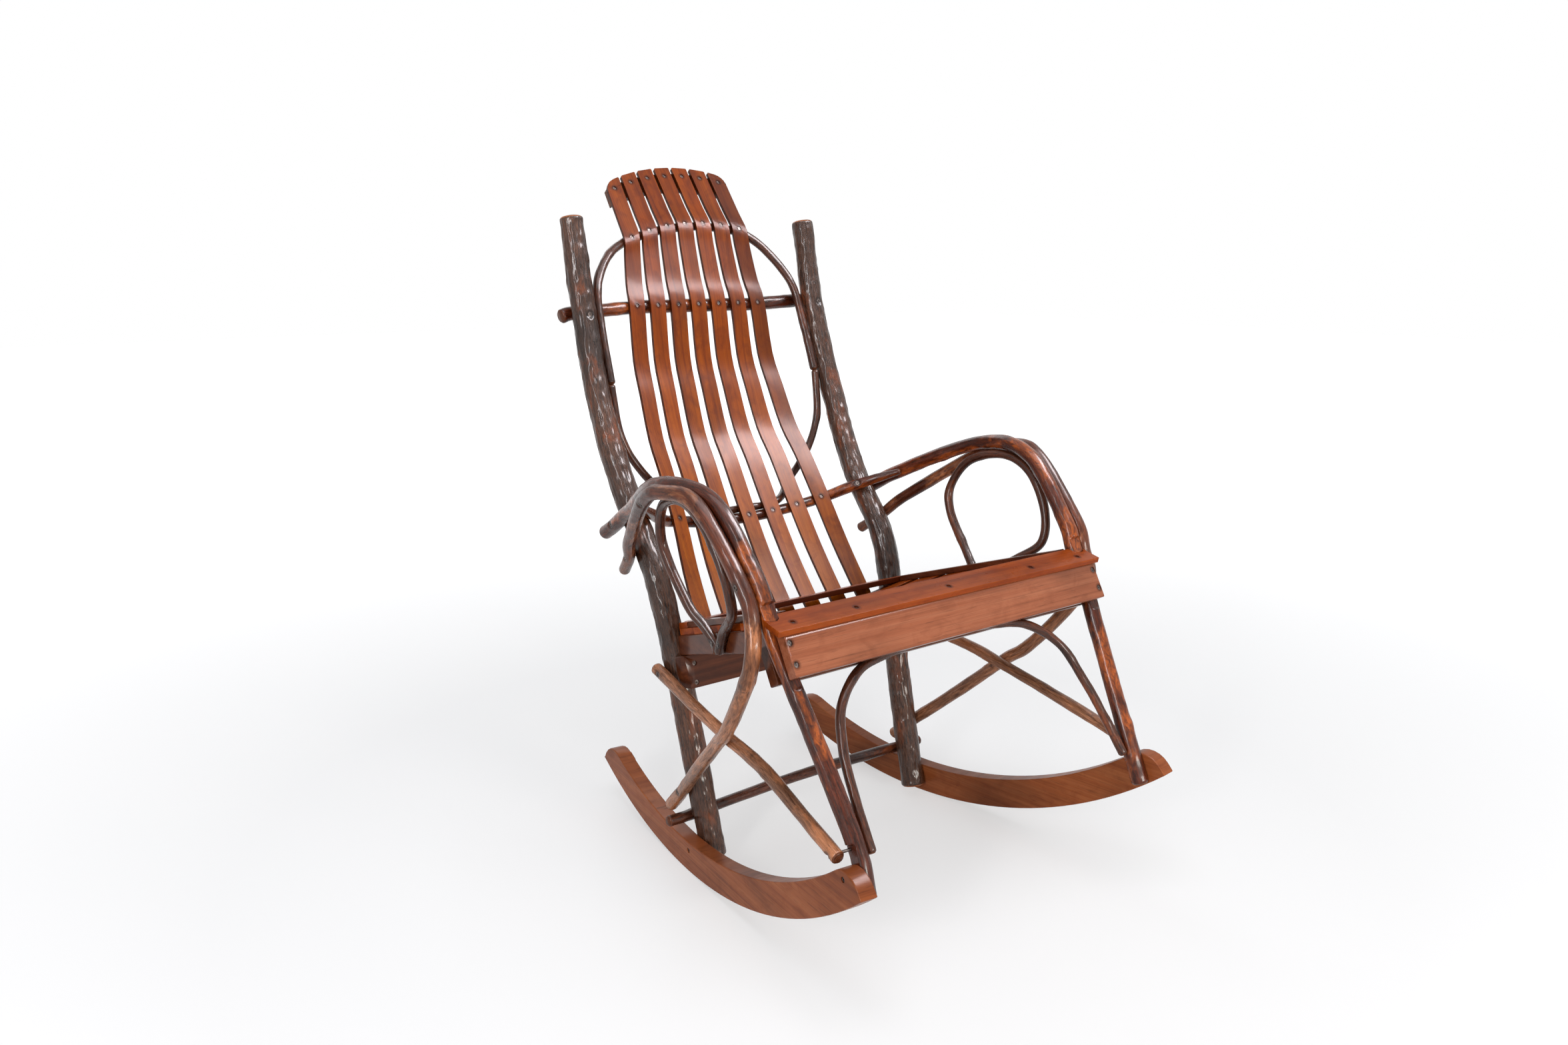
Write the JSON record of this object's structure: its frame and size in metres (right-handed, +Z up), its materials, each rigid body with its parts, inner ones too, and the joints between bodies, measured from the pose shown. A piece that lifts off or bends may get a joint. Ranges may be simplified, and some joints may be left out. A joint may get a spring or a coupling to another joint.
{
  "type": "bentwood rocking chair",
  "caption": "Rustic rocking chair of bent saplings with curved arms, sawn rockers, a dished slatted seat and a tall slatted back.",
  "frame": {"origin": "on the floor in the middle plane, under the line where both rockers touch the floor", "axes": "+X to the right of someone who looks along +Y, +Y from the front to the rear, +Z up"},
  "size_m": [0.7604, 0.9997, 1.1649],
  "materials": {
    "post_bark": "varnished ridged bark",
    "sapling_bark": "varnished smooth bark",
    "hoop_bark": "varnished thin bark",
    "back_slat_wood": "glossy varnish",
    "seat_wood": "glossy varnish",
    "screw_steel": "darkened"
  },
  "bodies": {
    "root": {"rocker_left": "seat_wood", "rocker_right": "seat_wood", "back_post_left": "post_bark", "back_post_right": "post_bark", "leg_and_arm_left": "sapling_bark", "leg_and_arm_right": "sapling_bark", "side_bow_left": "sapling_bark", "side_bow_right": "sapling_bark", "arm_ring_left": "hoop_bark", "arm_ring_right": "hoop_bark", "side_brace_left": "sapling_bark", "side_brace_right": "sapling_bark", "front_hoop": "hoop_bark", "rear_stretcher": "sapling_bark", "mid_back_rod": "sapling_bark", "upper_back_hoop": "hoop_bark", "lower_back_hoop": "hoop_bark", "arm_cross_bow": "sapling_bark", "apron": "seat_wood", "front_seat_rail": "seat_wood", "rear_seat_rail": "seat_wood", "side_rail_left": "seat_wood", "side_rail_right": "seat_wood", "centre_rail": "seat_wood", "front_seat_slat": "seat_wood", "seat_slat_1": "seat_wood", "seat_slat_2": "seat_wood", "seat_slat_3": "seat_wood", "seat_slat_4": "seat_wood", "seat_slat_5": "seat_wood", "seat_slat_6": "seat_wood", "side_strip_left": "seat_wood", "side_strip_right": "seat_wood", "rear_seat_board": "seat_wood", "back_slat_1": "back_slat_wood", "back_slat_2": "back_slat_wood", "back_slat_3": "back_slat_wood", "back_slat_4": "back_slat_wood", "back_slat_5": "back_slat_wood", "back_slat_6": "back_slat_wood", "back_slat_7": "back_slat_wood", "crest_rail": "back_slat_wood", "back_slat_screws": "screw_steel", "seat_screws": "screw_steel", "apron_screws": "screw_steel", "rear_rail_screws": "screw_steel", "arm_screws": "screw_steel", "stick_screws": "screw_steel"}
  },
  "joints": []
}
